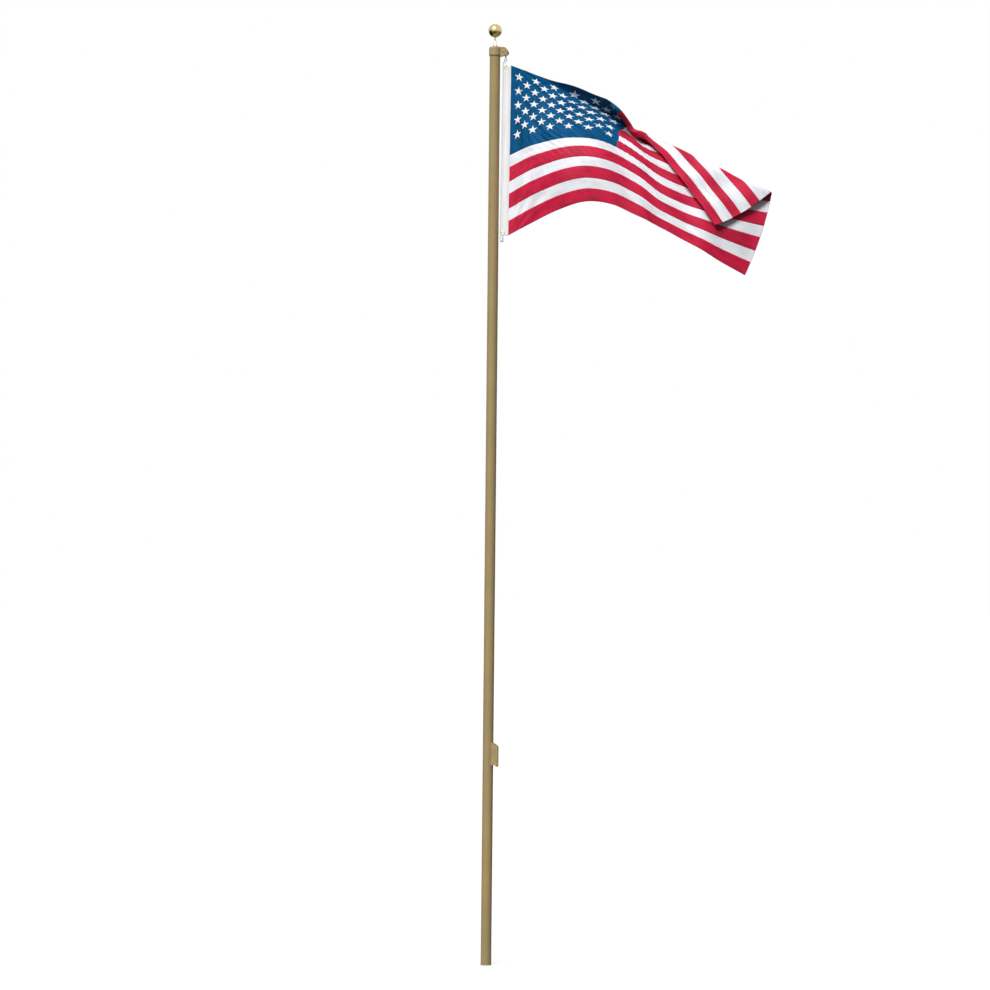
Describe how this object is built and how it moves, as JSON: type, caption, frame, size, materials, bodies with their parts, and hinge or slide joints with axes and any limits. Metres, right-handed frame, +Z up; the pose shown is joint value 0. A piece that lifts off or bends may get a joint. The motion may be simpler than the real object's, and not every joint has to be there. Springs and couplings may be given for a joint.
{
  "type": "flagpole",
  "caption": "Tall tan flagpole with an internal halyard, a beaked revolving truck, a gold ball finial, a hinged cleat box and a striped flag that flies and lowers.",
  "frame": {"origin": "centre of the pole's foot at ground level", "axes": "+Z up along the pole, +X along the flag towards its fly end, the flag's face towards -Y"},
  "size_m": [1.529, 0.2071, 5.0574],
  "materials": {
    "pole_coating": "satin tan gel coat over fibreglass",
    "tan_casting": "tan powder coat",
    "cast_aluminium": "machined",
    "black_nylon": "moulded",
    "steel_pin": "ground",
    "snap_steel": "polished",
    "gold_finish": "gold anodised, polished",
    "brass_grommet": "polished",
    "halyard_rope": "braided",
    "header_canvas": "heavy canvas",
    "blue_cloth": "nylon with sewn stars",
    "red_cloth": "nylon",
    "white_cloth": "nylon"
  },
  "bodies": {
    "pole": {"pole_shaft": "pole_coating", "truck_ferrule": "tan_casting", "bearing_washer": "black_nylon", "cleat_base": "tan_casting", "hinge_pin": "steel_pin", "jam_cleat": "black_nylon", "halyard_inner": "halyard_rope"},
    "cover": {"cleat_cover": "tan_casting"},
    "truck": {"truck_cap": "tan_casting", "sheave": "black_nylon", "sheave_pin": "steel_pin", "finial_hub": "cast_aluminium", "finial_stem": "gold_finish", "finial_ball": "gold_finish", "halyard_lead": "halyard_rope", "halyard_drop": "halyard_rope"},
    "flag": {"top_snap": "snap_steel", "bottom_snap": "snap_steel", "halyard_run": "halyard_rope", "flag_header": "header_canvas", "grommets": "brass_grommet", "flag_canton": "blue_cloth", "flag_red_stripes": "red_cloth", "flag_white_stripes": "white_cloth"}
  },
  "joints": [
    {"name": "truck_turn", "type": "hinge", "parent": "pole", "child": "truck", "pos_m": [0, 0, 4.877], "axis": [0, 0, 1], "continuous": true},
    {"name": "flag_hoist", "type": "slide", "parent": "truck", "child": "flag", "axis": [0, 0, -1], "range_m": [0, 2.4], "deforming": ["halyard_drop"]},
    {"name": "cover_hinge", "type": "hinge", "parent": "pole", "child": "cover", "pos_m": [0.04, 0, 1.1844], "axis": [0, -1, 0], "range_deg": [0, 110]}
  ]
}
